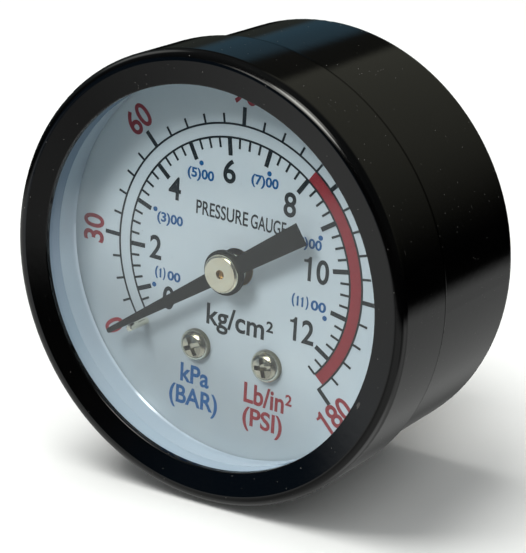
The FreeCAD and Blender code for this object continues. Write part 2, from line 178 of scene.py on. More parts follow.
def shade_bezel(tree, place, bumped, colour):
    """Turn the bumped normal to the bezel's profile; return its colour, with a painted shadow on
    the rear edge, and its specular level.
    """
    x, y, z = tree.split(place)
    radius = tree.radius(x, z)
    height = tree.minus(BEZEL_DATUM_Y, y)
    lead = tree.red(tree.ramp(tree.minus(radius, LEAD_RADIUS), CORNER_LEAD))
    outward = tree.plus(tree.larger(tree.minus(radius, CORNER_RADIUS), 0.0), lead)
    forward = tree.larger(tree.minus(height, CORNER_HEIGHT), 0.0)
    normal = tree.add("ShaderNodeCombineXYZ", {
        "X": tree.times(outward, tree.over(x, radius)),
        "Y": tree.times(forward, -1.0),
        "Z": tree.times(outward, tree.over(z, radius))}).outputs[0]
    normal = tree.add("ShaderNodeVectorMath", {0: normal}, operation="NORMALIZE").outputs[0]
    # only the outer part of the ring follows the profile
    outer_part = tree.times(tree.above(radius, 25.45), tree.above(height, -1.4))
    mesh_normal = tree.add("ShaderNodeNewGeometry").outputs["Normal"]
    chosen = tree.add("ShaderNodeMix", {0: outer_part, 4: mesh_normal, 5: normal},
                      data_type="VECTOR")
    tree.feed(bumped.node.inputs["Normal"], chosen.outputs[1])
    # painted shadow: the rear edge is darkened to near black, with less specular, where it lies in
    # its own shadow against the case
    edge = tree.times(tree.smooth(height, across=(-1.32, -1.48)), tree.above(radius, 26.2))
    specular = tree.minus(0.5, tree.times(edge, 0.38))
    return tree.mix(edge, colour, (0.0002, 0.0002, 0.0002)), specular


def black_paint(name, bezel=False):
    """Gloss black with dust, faint scratches and orange peel; on the bezel, a painted shadow at the
    rear edge.
    """
    material, tree = new_material(name)
    place = tree.place()
    cloud = tree.noise(place, scale=0.12, detail=3)
    fine = tree.noise(place, scale=2.2, detail=5)
    colour = tree.ramp(cloud, [(0.3, (0.0006, 0.0007, 0.0008)), (0.7, (0.0013, 0.0012, 0.0012))])
    dust = tree.specks(place, density=1.1, size=0.055, keep=0.10)
    grit = tree.specks(tree.place(location=(31, 7, 3)), density=2.6, size=0.13, keep=0.05)
    dust = tree.larger(dust, grit)
    # scratches: the peaks of a stretched noise, kept in patches
    stretched = tree.place(scale=(260, 3200, 260), rotation=(0.4, 0.3, 0.9))
    streaks = tree.above(tree.noise(stretched, scale=1.0, detail=2), 0.765)
    scratches = tree.times(streaks, tree.above(tree.noise(place, scale=0.3, detail=2), 0.55))
    # dust shows at 0.8 and scratches at 0.35 of full strength
    marks = tree.larger(tree.times(dust, 0.8), tree.times(scratches, 0.35))
    colour = tree.mix(marks, colour, (0.16, 0.155, 0.145))
    # base roughness 0.065, varied by the fine grain and dulled by the marks
    roughness = tree.plus(tree.times(fine, 0.05), 0.065)
    roughness = tree.plus(roughness, tree.times(marks, 0.5), clamp=True)
    peel = tree.add("ShaderNodeTexNoise", {
        "Vector": place, "Scale": 0.9, "Detail": 2, "Roughness": 0.4}).outputs["Fac"]
    relief = tree.plus(tree.times(peel, 0.6), tree.times(fine, 0.12))
    bumped = tree.bump(relief, strength=0.22, distance=0.00003)
    specular = 0.5
    if bezel:
        colour, specular = shade_bezel(tree, place, bumped, colour)
    tree.surface(tree.principled(Base_Color=colour, Roughness=roughness, Normal=bumped,
                                 Specular_IOR_Level=specular))
    return material


# ------------------------------------------------------------------ window
PLASTIC_IOR = 1.49
FROST_INNER = (0.52, 0.60, 0.655)
FROST_OUTER = (0.10, 0.12, 0.14)
# Radii in metres; places forward of the dial are DIAL_Y less a depth.
SKIRT_RADIUS = 0.02287                  # the skirt lies outside the clear disc
SKIRT_OUTER_RADIUS = 0.0240             # outside this it has the outer frost colour
# painted highlight: the bright line at the foot is drawn by emission inside this radius
FOOT_RADIUS = 0.0236                    # the lit foot lies inside this
SKIRT_FRONT_Y = DIAL_Y - 0.00445
FOOT_FRONT_Y = DIAL_Y - 0.00085
FRONT_FACE_Y = DIAL_Y - 0.0055
# Painted light carried round the skirt, drawn as emission: place from upper left (0) to lower right
# (1), colour.
PAINTED_OUTER_GLOW = [
    (0.0, (0.052, 0.077, 0.10)), (0.12, (0.058, 0.085, 0.11)), (0.2, (0.066, 0.096, 0.125)),
    (0.32, (0.14, 0.185, 0.23)), (0.415, (0.17, 0.225, 0.27)), (0.52, (0.20, 0.268, 0.315)),
    (0.63, (0.285, 0.355, 0.40)), (0.82, (0.345, 0.44, 0.50)), (1.0, (0.38, 0.475, 0.545))]
PAINTED_INNER_GLOW = [
    (0.0, 0.0), (0.15, 0.0), (0.21, (0.045, 0.055, 0.06)),
    (0.32, (0.115, 0.135, 0.145)), (0.42, (0.10, 0.12, 0.13)), (0.56, (0.077, 0.092, 0.10)),
    (0.66, (0.065, 0.078, 0.085)), (0.75, (0.04, 0.048, 0.052)), (1.0, (0.03, 0.036, 0.04))]
# Painted highlight line at the foot, drawn as emission: leftward share of the radius, level.
FOOT_PAINTED_HIGHLIGHT = [(0.0, 0.0), (0.30, 0.10), (0.42, 0.30), (0.47, 1.0), (0.54, 0.9), (0.58, 0.16),
             (0.75, 0.12), (0.95, 0.08)]


def clear_plastic(tree, place, haze, clear):
    """Clear body with reflections, dust and a trace of milkiness."""
    roughness = tree.plus(tree.times(tree.noise(place, scale=3.0), 0.05), 0.02)
    waves = tree.bump(tree.noise(place, scale=0.25, detail=2), strength=0.15, distance=0.00002)
    gloss = tree.add("ShaderNodeBsdfGlossy", {
        "Color": (1, 1, 1), "Roughness": roughness, "Normal": waves}).outputs[0]
    # the light path is not bent, so both faces use the outside index;
    # otherwise the rear face would act as a full mirror
    behind = tree.add("ShaderNodeNewGeometry").outputs["Backfacing"]
    ior = tree.plus(PLASTIC_IOR, tree.times(behind, 1.0 / PLASTIC_IOR - PLASTIC_IOR))
    fresnel = tree.add("ShaderNodeFresnel", {"IOR": ior}).outputs[0]
    # away from the front face the reflection is held to 0.08
    front_face = tree.below(tree.split(tree.object_coords())[1], FRONT_FACE_Y)
    reflected = tree.calc("MINIMUM", fresnel, tree.plus(front_face, 0.08), clamp=True)
    body = tree.mix_shaders(reflected, clear, gloss)
    dust = tree.specks(tree.place(location=(5, 2, 9)), density=0.9, size=0.045, keep=0.09)
    grit = tree.specks(place, density=3.1, size=0.09, keep=0.03)
    dust = tree.larger(dust, tree.times(grit, 0.6))
    white = tree.add("ShaderNodeBsdfDiffuse", {"Color": (0.55, 0.56, 0.56)}).outputs[0]
    # share of white: 0.35 on dust, up to 0.012 from the haze
    milk = tree.plus(tree.times(dust, 0.35), tree.times(haze, 0.012), clamp=True)
    return tree.mix_shaders(milk, body, white)


def frosted_skirt(tree, haze, clear, x, y, z, radius):
    """Frosted plastic with painted light: an emission for the light carried inside it and a painted
    highlight line at its foot.
    """
    outer = tree.above(radius, SKIRT_OUTER_RADIUS)
    inner_frost = tree.mix(haze, FROST_INNER, tuple(part * 1.08 for part in FROST_INNER))
    frost = tree.principled(Base_Color=tree.mix(outer, inner_frost, FROST_OUTER),
                            Roughness=0.45, Specular_IOR_Level=0.3)
    skirt = tree.mix_shaders(0.82, clear, frost)        # 0.82 frost
    # direction round the axis, 1 at the lower right and -1 at the upper left
    lower_right = tree.over(tree.minus(tree.times(x, 0.5), tree.times(z, 0.87)),
                            tree.larger(radius, 0.001))
    outer_glow, inner_glow = [
        tree.ramp(tree.plus(tree.times(lower_right, 0.5), 0.5), stops)
        for stops in (PAINTED_OUTER_GLOW, PAINTED_INNER_GLOW)]
    # painted light: the skirt glows by emission, in place of light carried round inside the plastic
    painted_glow = tree.add("ShaderNodeEmission", {
        "Color": tree.mix(outer, inner_glow, outer_glow), "Strength": 0.97}).outputs[0]
    skirt = tree.add("ShaderNodeAddShader", {0: skirt, 1: painted_glow}).outputs[0]
    # painted highlight: an emission line at the foot of the skirt, low on the left, where it would
    # catch the lamp
    rightward = tree.over(x, tree.larger(radius, 0.001))
    arc = tree.ramp(tree.times(rightward, -1.0), FOOT_PAINTED_HIGHLIGHT)
    at_foot = tree.times(tree.above(y, FOOT_FRONT_Y), tree.below(radius, FOOT_RADIUS))
    foot = tree.times(tree.below(z, 0.0), at_foot)
    painted_foot_highlight = tree.add("ShaderNodeEmission", {"Color": arc, "Strength": tree.times(foot, 0.9)})
    return tree.add("ShaderNodeAddShader", {0: skirt, 1: painted_foot_highlight.outputs[0]}).outputs[0]


def clear_window():
    """Clear plastic; the skirt that stands on the dial is frosted."""
    material, tree = new_material("clear_window")
    place = tree.place()
    haze = tree.noise(place, scale=0.35)
    tint = tree.mix(haze, (0.955, 0.972, 0.985), (0.975, 0.985, 0.99))
    clear = tree.add("ShaderNodeBsdfTransparent", {"Color": tint}).outputs[0]
    plastic = clear_plastic(tree, place, haze, clear)
    x, y, z = tree.split(tree.object_coords())
    radius = tree.radius(x, z)
    in_skirt = tree.times(tree.above(radius, SKIRT_RADIUS), tree.above(y, SKIRT_FRONT_Y))
    skirt = frosted_skirt(tree, haze, clear, x, y, z, radius)
    tree.surface(tree.mix_shaders(in_skirt, plastic, skirt))
    return material


# ------------------------------------------------------------------ matte and metal
def matte(name, dark, light, scale=1.5, rough=0.6, grain=0.08, specular=0.35, mark=None,
          painted_shade=0.0):
    """Clouded matte surface; mark colours its specks; a painted shade, up to the given share,
    darkens it down the dial.
    """
    material, tree = new_material(name)
    place = tree.place()
    colour = tree.ramp(tree.noise(place, scale=scale, detail=5), [(0.3, dark), (0.7, light)])
    if painted_shade:
        # painted shade: the colour is darkened towards the bottom of the dial, a little to the left
        downward = tree.dot(place, (-0.342, 0.0, -0.940))
        shade = tree.smooth(downward, across=(5.0, 17.0), to=(0.0, painted_shade))
        colour = tree.mix(shade, colour, (0.0, 0.0, 0.0))
    if mark:
        specks = tree.specks(place, density=1.3, size=0.09, keep=0.07)
        colour = tree.mix(tree.times(specks, 0.55), colour, mark)
    fine = tree.noise(place, scale=9.0, detail=3)
    # the fine grain varies the roughness by 0.15 about its level
    tree.surface(tree.principled(
        Base_Color=colour, Roughness=tree.plus(tree.times(fine, 0.15), rough - 0.07),
        Specular_IOR_Level=specular, Normal=tree.bump(fine, strength=grain, distance=0.00002)))
    return material


def metal(name, dark, light, rough=0.25, turned=False, brush=(120, 120, 120), tarnish=0.0,
          relief=0.1, metallic=0.88, side=0.0):
    """Metal with turning or brush marks; side scales the painted shade on a head's upright sides.
    """
    material, tree = new_material(name)
    place = tree.place()
    colour = tree.ramp(tree.noise(place, scale=0.6), [(0.3, dark), (0.7, light)])
    if turned:
        # rings about the gauge axis
        x, y, z = tree.split(tree.object_coords())
        radius = tree.radius(x, z)
        section = tree.add("ShaderNodeCombineXYZ", {
            "X": tree.times(radius, 1000.0), "Y": tree.times(y, 1000.0)}).outputs[0]
        lines = tree.noise(section, scale=14.0, detail=2)
    else:
        lines = tree.noise(tree.place(scale=brush), scale=12.0, detail=3)
    fine = tree.noise(place, scale=7.0, detail=3)
    if tarnish:
        patches = tree.ramp(tree.noise(place, scale=0.35, detail=5),
                            [(0.45, 0.0), (0.75, tarnish)])
        colour = tree.mix(patches, colour, tuple(part * 0.45 for part in dark))
    if side:
        # painted shade: the upright sides are darkened and browned against the crown
        facing = tree.split(tree.add("ShaderNodeNewGeometry").outputs["Normal"])[1]
        upright = tree.smooth(tree.calc("ABSOLUTE", facing), across=(0.62, 0.25))
        painted_side_shade = (dark[0] * side, dark[1] * side * 0.97, dark[2] * side * 0.9)
        colour = tree.mix(upright, colour, painted_side_shade)
    # the marks vary the roughness by 0.10 each; the fine grain counts less in the relief
    roughness = tree.plus(tree.times(tree.plus(lines, fine), 0.10), rough - 0.06, clamp=True)
    height = tree.plus(lines, tree.times(fine, 0.3))
    tree.surface(tree.principled(
        Base_Color=colour, Metallic=metallic, Roughness=roughness,
        Normal=tree.bump(height, strength=relief, distance=0.000015)))
    return material


def ink(name, dark, light):
    return matte(name, dark, light, rough=0.6, specular=0.2)


BLACK = black_paint("gloss_black_paint")
BLACK_BEZEL = black_paint("gloss_black_bezel", bezel=True)
WINDOW = clear_window()
RUBBER = matte("gasket_rubber", (0.012, 0.012, 0.012), (0.02, 0.02, 0.02), rough=0.8)
# the dial is darkened towards its bottom by painted shade
DIAL = matte("dial_white", (0.57, 0.65, 0.68), (0.60, 0.675, 0.695), scale=0.25, rough=0.55,
             grain=0.05, specular=0.3, mark=(0.36, 0.38, 0.38), painted_shade=0.31)
INK_BLACK = ink("print_black", (0.005, 0.009, 0.009), (0.009, 0.014, 0.014))
INK_RED = ink("print_red", (0.24, 0.018, 0.024), (0.30, 0.026, 0.033))
INK_BLUE = ink("print_blue", (0.001, 0.078, 0.24), (0.003, 0.10, 0.285))
POINTER = matte("pointer_black", (0.008, 0.009, 0.006), (0.013, 0.013, 0.009), scale=3.0,
                rough=0.5, grain=0.25, specular=0.12)
NICKEL = metal("nickel_turned", (1.0, 0.90, 0.66), (1.0, 0.95, 0.73), rough=0.10, turned=True,
               relief=0.07, metallic=0.95)
NICKEL_BRIGHT = metal("nickel_bright", (0.86, 0.81, 0.63), (0.94, 0.90, 0.74), rough=0.16,
                      metallic=1.0)
STEEL = metal("steel_strip", (0.45, 0.45, 0.44), (0.56, 0.56, 0.55), rough=0.3,
              brush=(60, 60, 900))
BRASS = metal("brass_turned", (0.60, 0.40, 0.16), (0.70, 0.49, 0.22), rough=0.3, turned=True,
              tarnish=0.3)
# darker than the other turned brass: painted shade for its tip at the bottom of the hub's bore
BRASS_SPINDLE = metal("brass_spindle", (0.42, 0.25, 0.09), (0.50, 0.31, 0.12), rough=0.35,
                      turned=True, tarnish=0.3)
# the screw heads' upright sides are darkened by painted shade
NICKEL_SCREW = metal("nickel_screw", (0.80, 0.74, 0.55), (0.90, 0.85, 0.67), rough=0.17,
                     metallic=1.0, side=0.3)
BRASS_PLATE = metal("brass_plate", (0.60, 0.41, 0.17), (0.71, 0.50, 0.23), rough=0.32,
                    brush=(40, 900, 900), tarnish=0.2)
BRONZE = metal("tube_bronze", (0.50, 0.30, 0.14), (0.62, 0.39, 0.19), rough=0.28,
               brush=(200, 200, 200), tarnish=0.25)

LOOKS = {
    "case_shell": BLACK, "bezel_ring": BLACK_BEZEL, "window_lens": WINDOW,
    "window_gasket": RUBBER, "dial_plate": DIAL, "stop_pin": NICKEL_BRIGHT,
    "dial_screws": NICKEL_SCREW, "dial_standoffs": BRASS_PLATE, "socket": BRASS,
    "passage_plugs": BRASS_PLATE, "case_screws": NICKEL_BRIGHT, "bourdon_tube": BRONZE,
    "tube_end_cap": BRASS_PLATE, "tip_pin": BRASS_PLATE, "link_arm": STEEL,
    "link_screw": NICKEL_BRIGHT, "sector_gear": BRASS_PLATE, "sector_arbor": STEEL,
    "pinion_arbor": BRASS_SPINDLE, "movement_back_plate": BRASS_PLATE,
    "movement_front_plate": BRASS_PLATE, "movement_pillars": BRASS_PLATE,
    "plate_screws": NICKEL_BRIGHT, "movement_screws": NICKEL_BRIGHT,
    "hairspring_collet": BRASS, "hairspring": BRONZE, "hairspring_stud": BRASS_PLATE,
    "pointer_blade": POINTER, "pointer_hub": NICKEL,
}
for name, part in NODES.items():
    part.data.materials.clear()
    part.data.materials.append(LOOKS[name])


# ------------------------------------------------------------------ print shapes
# Foot and top of each kind of print, mm in front of the dial face.
LETTER_HEIGHTS = (-0.01, 0.03)
LINE_HEIGHTS = (-0.01, 0.035)
TICK_HEIGHTS = (-0.01, 0.04)
FIELD_HEIGHTS = (-0.012, 0.02)


def add_print(name, mesh, material):
    bmesh.ops.recalc_face_normals(mesh, faces=mesh.faces[:])
    data = bpy.data.meshes.new(name)
    mesh.to_mesh(data)
    mesh.free()
    part = bpy.data.objects.new(name, data)
    bpy.context.scene.collection.objects.link(part)
    data.materials.append(material)
    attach(part, "housing")


def clock(degrees, radius):
    """Dial point at an angle clockwise from the top."""
    angle = math.radians(degrees)
    return radius * math.sin(angle), radius * math.cos(angle)


def turned(x, y, centre, turn):
    """A point turned anticlockwise by so many degrees and moved to a centre."""
    cosine, sine = math.cos(math.radians(turn)), math.sin(math.radians(turn))
    return centre[0] + x * cosine - y * sine, centre[1] + x * sine + y * cosine


def slab(mesh, points, heights):
    """Closed flat prism from a ring of dial points."""
    low, high = [[mesh.verts.new(dial_point(x, y, height)) for x, y in points]
                 for height in heights]
    mesh.faces.new(high)
    mesh.faces.new(low[::-1])
    for i in range(len(points)):
        j = (i + 1) % len(points)
        mesh.faces.new((low[i], low[j], high[j], high[i]))


def band(mesh, start, end, inner, outer, heights):
    """Closed ring sector, in steps of about one degree."""
    steps = max(2, int(abs(end - start)))
    foot, top = heights
    section = ((inner, foot), (outer, foot), (outer, top), (inner, top))
    rings = []
    for k in range(steps + 1):
        angle = start + (end - start) * k / steps
        rings.append([mesh.verts.new(dial_point(*clock(angle, radius), height))
                      for radius, height in section])
    for ring, following in zip(rings, rings[1:]):
        for i in range(4):
            j = (i + 1) % 4
            mesh.faces.new((ring[i], ring[j], following[j], following[i]))
    mesh.faces.new(rings[0])
    mesh.faces.new(rings[-1][::-1])


def circle_line(mesh, start, end, radius):
    band(mesh, start, end, radius - 0.12, radius + 0.12, LINE_HEIGHTS)


def tick(mesh, degrees, inner, outer, width):
    out_x, out_y = clock(degrees, 1.0)
    points = [(out_x * radius + out_y * side * width / 2, out_y * radius - out_x * side * width / 2)
              for radius, side in ((inner, -1), (outer, -1), (outer, 1), (inner, 1))]
    slab(mesh, points, TICK_HEIGHTS)


def round_dot(mesh, x, y, radius):
    angles = [2 * math.pi * k / 24 for k in range(24)]
    points = [(x + radius * math.cos(angle), y + radius * math.sin(angle)) for angle in angles]
    slab(mesh, points, LETTER_HEIGHTS)


def lettering(mesh, text, box, bold, centre, turn):
    """Text in Blender's own font, stretched to a box and turned about the centre."""
    curve = bpy.data.curves.new("lettering", "FONT")
    curve.body = text
    curve.size = 1.0
    curve.resolution_u = 6
    curve.offset = bold
    curve.extrude = 0.5
    holder = bpy.data.objects.new("lettering", curve)
    bpy.context.scene.collection.objects.link(holder)
    bpy.context.view_layer.update()
    graph = bpy.context.evaluated_depsgraph_get()
    data = bpy.data.meshes.new_from_object(holder.evaluated_get(graph))
    points = [vertex.co.copy() for vertex in data.vertices]
    from_x, to_x = min(p.x for p in points), max(p.x for p in points)
    from_y, to_y = min(p.y for p in points), max(p.y for p in points)
    left, right, bottom, top = box
    verts = []
    for point in points:
        x = left + (point.x - from_x) / (to_x - from_x) * (right - left)
        y = bottom + (point.y - from_y) / (to_y - from_y) * (top - bottom)
        height = LETTER_HEIGHTS[1 if point.z > 0 else 0]
        verts.append(mesh.verts.new(dial_point(*turned(x, y, centre, turn), height)))
    for face in data.polygons:
        # guards against a face that repeats another one's vertices
        try:
            mesh.faces.new([verts[i] for i in face.vertices])
        except ValueError:
            pass
    bpy.data.objects.remove(holder)
    bpy.data.curves.remove(curve)
    bpy.data.meshes.remove(data)


def figure_one(mesh, box, stem, centre, turn):
    """The figure 1: a stem with a curved flag."""
    left, right, bottom, top = box
    tall = top - bottom
    flag = right - stem
    points = [(flag, bottom), (right, bottom), (right, top), (flag + 0.3 * stem, top),
              (flag + 0.05 * stem, top - 0.075 * tall),
              (flag - 0.35 * (flag - left), top - 0.135 * tall), (left, top - 0.155 * tall),
              (left, top - 0.25 * tall), (flag, top - 0.25 * tall)]
    slab(mesh, [turned(x, y, centre, turn) for x, y in points], LETTER_HEIGHTS)


def write(mesh, rows, centre=(0.0, 0.0), turn=0.0):
    """Rows of text, box and weight: the stem width in mm for a lone 1, else the font offset."""
    for text, box, weight in rows:
        if text == "1":
            figure_one(mesh, box, weight, centre, turn)
        else:
            lettering(mesh, text, box, weight, centre, turn)


def centred(width, height):
    return -width / 2, width / 2, -height / 2, height / 2


# ------------------------------------------------------------------ dial print
OUTER_CIRCLE, INNER_CIRCLE = 16.98, 15.38       # the psi and the kg/cm2 scale lines, mm
SCALE_START, SWEEP = -135.0, 270.0              # clock degrees
CIRCLE_START = -126.0                           # where both lines begin
PSI_FULL, KG_FULL = 180.0, 12.656
KG_END = 12.5                                   # last kg/cm2 division
KG_PER_BAR = 1.01972


def psi_angle(value):
    return SCALE_START + SWEEP * value / PSI_FULL


def kg_angle(value):
    return SCALE_START + SWEEP * value / KG_FULL


# Lettering tables: text, box (left, right, bottom, top in dial mm), weight.
FIGURE, STEM = 0.018, 0.43
BLACK_TEXT = [
    ("0", (-10.33, -8.65, -7.67, -4.76), FIGURE),
    ("2", (-12.5, -10.8, -1.8, 1.16), FIGURE),
    ("4", (-10.1, -8.35, 6.13, 8.95), FIGURE),
    ("6", (-2.5, -0.78, 9.8, 12.7), FIGURE),
    ("8", (5.93, 7.6, 7.65, 10.6), FIGURE),
    ("1", (9.12, 10.13, 0.78, 3.68), STEM),
    ("0", (10.83, 12.5, 0.76, 3.69), FIGURE),
    ("1", (7.74, 8.69, -6.88, -3.98), STEM),
    ("2", (9.39, 11.02, -6.9, -3.97), FIGURE),
    ("PRESSURE", (-6.05, 1.22, 5.2, 6.92), 0.01),
    ("GAUGE", (1.62, 6.45, 5.2, 6.92), 0.01),
    ("kg/cm", (-3.88, 4.28, -8.78, -5.3), 0.017),
    ("2", (4.55, 5.5, -6.82, -5.45), 0.025),
]
RED_TEXT = [
    ("Lb/in", (1.95, 7.6, -16.35, -13.75), 0.022),
    ("2", (7.75, 8.65, -15.15, -13.75), 0.025),
    ("(PSI)", (1.95, 7.52, -19.9, -16.8), 0.022),
]
BLUE_TEXT = [
    ("(3)00", (-11.6, -7.88, 2.7, 4.25), 0.028),
    ("(5)00", (-7.5, -3.77, 9.15, 10.7), 0.028),
    ("(7)00", (1.38, 5.08, 10.15, 11.7), 0.028),
    ("(9)00", (7.6, 11.3, 4.3, 5.85), 0.028),
    ("kPa", (-7.28, -3.1, -16.22, -13.8), 0.022),
    ("(BAR)", (-8.8, -1.75, -19.85, -16.75), 0.022),
]


def two_figures(text):
    return [(text, centred(3.5, 3.05), FIGURE)]


def over_hundred(text):
    """A flagged 1 and the two figures after it."""
    return [("1", (-2.45, -1.45, -1.47, 1.47), STEM), (text, (-0.92, 2.45, -1.5, 1.5), FIGURE)]


# Psi numerals: rows, clock angle, radius, extra turn. 06 turned by half a turn reads 90.
PSI_NUMERALS = [
    ([("0", centred(1.7, 3.05), FIGURE)], -124.0, 21.0, 0.0),
    (two_figures("30"), psi_angle(30), 20.95, 0.0),
    (two_figures("60"), psi_angle(60), 20.95, 0.0),
    (two_figures("06"), psi_angle(90), 20.95, 180.0),
    (over_hundred("20"), psi_angle(120), 20.95, 0.0),
    (over_hundred("50"), psi_angle(150), 20.95, 0.0),
    (over_hundred("80"), psi_angle(180), 20.6, 180.0),
]
# (1)00 and (11)00 with the flagged 1: their boxes, then for each part the text, the left and
# right shares of the width, the inset as a share of the height, and the weight.
FLAGGED_BLUE = [
    ((-11.6, -7.88, -4.15, -2.6), [
        ("(", 0, 0.12, 0, 0.05), ("1", 0.165, 0.245, 0.13, 0.23),
        (")", 0.31, 0.41, 0, 0.05), ("00", 0.49, 1, 0.12, 0.028)]),
    ((7.77, 12.4, -2.75, -1.15), [
        ("(", 0, 0.09, 0, 0.05), ("1", 0.14, 0.20, 0.13, 0.23), ("1", 0.27, 0.34, 0.13, 0.23),
        (")", 0.41, 0.49, 0, 0.05), ("00", 0.56, 1, 0.12, 0.028)]),
]


def black_print():
    mesh = bmesh.new()
    circle_line(mesh, CIRCLE_START, SCALE_START + SWEEP, OUTER_CIRCLE)
    circle_line(mesh, CIRCLE_START, kg_angle(KG_END), INNER_CIRCLE)
    for value in range(6, 181, 6):
        if value % 30 == 0:
            # the last tick stands a little short of its place
            shift = -0.7 if value == 180 else 0
            tick(mesh, psi_angle(value) + shift, OUTER_CIRCLE, outer=19.15, width=0.5)
        else:
            tick(mesh, psi_angle(value), OUTER_CIRCLE, outer=18.16, width=0.27)
    for quarter in range(2, 51):
        inner, width = (13.25, 0.55) if quarter % 4 == 0 else (14.15, 0.27)
        tick(mesh, kg_angle(quarter / 4.0), inner, INNER_CIRCLE, width)
    write(mesh, BLACK_TEXT)
    add_print("dial_print_black", mesh, INK_BLACK)


def red_print():
    mesh = bmesh.new()
    band(mesh, kg_angle(8), kg_angle(KG_END), INNER_CIRCLE, OUTER_CIRCLE, FIELD_HEIGHTS)
    for rows, angle, radius, extra in PSI_NUMERALS:
        write(mesh, rows, centre=clock(angle, radius), turn=-angle + extra)
    write(mesh, RED_TEXT)
    add_print("dial_print_red", mesh, INK_RED)


def blue_print():
    mesh = bmesh.new()
    for value in range(1, 12, 2):
        round_dot(mesh, *clock(kg_angle(value * KG_PER_BAR), 12.7), radius=0.3)
    for (left, right, bottom, top), parts in FLAGGED_BLUE:
        wide, tall = right - left, top - bottom
        write(mesh, [
            (text, (left + start * wide, left + end * wide,
                    bottom + inset * tall, top - inset * tall), weight)
            for text, start, end, inset, weight in parts])
    write(mesh, BLUE_TEXT)
    add_print("dial_print_blue", mesh, INK_BLUE)


black_print()
red_print()
blue_print()


# ------------------------------------------------------------------ camera
def add_camera():
    """Camera to the right of the dial and above it."""
    right = Vector((0.8273, 0.5592, 0.0539))
    up = Vector((-0.2359, 0.2587, 0.9367))
    back = Vector((0.5098, -0.7877, 0.3459))
    position = dial_point(127.893, 82.929, 191.834)
    data = bpy.data.cameras.new("camera")
    data.sensor_width = 36.0
    data.lens = 137.975045
    data.shift_x = 0.00048824593
    data.shift_y = 0.0161844485
    data.clip_start = 0.005
    camera = bpy.data.objects.new("camera", data)
    rows = [(*row, 0) for row in (right, up, back)]
    camera.matrix_world = Matrix((*rows, (*position, 1))).transposed()
    bpy.context.scene.collection.objects.link(camera)
    bpy.context.scene.camera = camera


# ------------------------------------------------------------------ floor
FLOOR_NORMAL = Vector((-0.065, -0.045, 0.997)).normalized()
FLOOR_HALF = 2.5
FLOOR_GAP = 0.00005


def floor_paper():
    material, tree = new_material("floor_paper")
    place = tree.place(scale=(100, 100, 100))
    colour = tree.ramp(tree.noise(place, scale=0.6),
                       [(0.3, (0.90, 0.905, 0.865)), (0.7, (0.925, 0.93, 0.89))])
    rays = tree.add("ShaderNodeLightPath").outputs
    # the paper throws only half of its light back on the gauge
    colour = tree.mix(tree.times(rays["Is Diffuse Ray"], 0.5), colour, (0.0, 0.0, 0.0))
    fibres = tree.noise(place, scale=40.0, detail=3)
    paper = tree.principled(Base_Color=colour, Roughness=0.85, Specular_IOR_Level=0.2,
                            Normal=tree.bump(fibres, strength=0.05, distance=0.0002))
    # polished surfaces see the studio of the world shader instead of the endless floor
    through = tree.add("ShaderNodeBsdfTransparent", {"Color": (1, 1, 1)}).outputs[0]
    tree.surface(tree.mix_shaders(rays["Is Glossy Ray"], paper, through))
    return material


def add_floor():
    """The gauge lies on its bezel and the rear of its case."""
    lowest = min(FLOOR_NORMAL.dot(vertex.co)
                 for name in ("bezel_ring", "case_shell") for vertex in NODES[name].data.vertices)
    across = Vector((1, 0, 0)) - FLOOR_NORMAL * FLOOR_NORMAL.x
    across.normalize()
    along = FLOOR_NORMAL.cross(across)
    centre = FLOOR_NORMAL * (lowest - FLOOR_GAP)
    mesh = bmesh.new()
    mesh.faces.new([mesh.verts.new(centre + across * i * FLOOR_HALF + along * j * FLOOR_HALF)
                    for i, j in ((-1, -1), (1, -1), (1, 1), (-1, 1))])
    data = bpy.data.meshes.new("floor")
    mesh.to_mesh(data)
    mesh.free()
    floor = bpy.data.objects.new("floor", data)
    bpy.context.scene.collection.objects.link(floor)
    data.materials.append(floor_paper())
    return floor


# ------------------------------------------------------------------ lights
def area_light(name, position, size, power, colour=(0.985, 0.99, 1.0), target=(0, -0.02, 0),
               glossy=False):
    """Square soft light; glossy lets polished surfaces mirror it."""
    data = bpy.data.lights.new(name, "AREA")
    data.shape = "RECTANGLE"
    data.size = data.size_y = size
    data.energy = power
    data.color = colour
    light = bpy.data.objects.new(name, data)
    light.location = position
    aim = Vector(target) - Vector(position)
    light.rotation_euler = aim.to_track_quat("-Z", "Y").to_euler()
    bpy.context.scene.collection.objects.link(light)
    light.visible_glossy = glossy
    return light


def receivers(name, *parts):
    collection = bpy.data.collections.new(name)
    for part in parts:
        collection.objects.link(part)
    return collection


def add_lights(floor):
    key = area_light("key", (-0.10, -0.64, 0.57), size=0.30, power=5.2,
                     colour=(1.0, 0.99, 0.975))
    not_floor = receivers("key_sees", floor)
    not_floor.collection_objects[0].light_linking.link_state = "EXCLUDE"
    key.light_linking.receiver_collection = not_floor
    top = area_light("top", (-0.20, -0.12, 0.66), size=0.45, power=6.0)
    top.light_linking.receiver_collection = not_floor
    # the floor has two soft lights of its own, so that the shadow spreads to both sides
    ground = receivers("ground", floor)
    for name, position, power in (("floor_left", (-0.22, -0.12, 0.64), 5.4),
                                  ("floor_right", (0.34, -0.16, 0.56), 0.85)):
        light = area_light(name, position, size=0.5, power=power)
        light.light_linking.receiver_collection = ground
    glint = area_light("glint", (-0.06, -0.62, 0.30), size=0.16, power=1.1,
                       colour=(1.0, 0.98, 0.92), target=(0, -0.03, 0), glossy=True)
    plated = receivers("plated", NODES["pointer_hub"], NODES["stop_pin"])
    glint.light_linking.receiver_collection = plated


# ------------------------------------------------------------------ world
# Brightness of the table in front: leftward direction, level.
FRONT_TABLE = [(0.0, 0.45), (0.26, 0.30), (0.38, 0.22), (0.55, 0.44), (0.66, 0.63), (0.8, 0.58)]
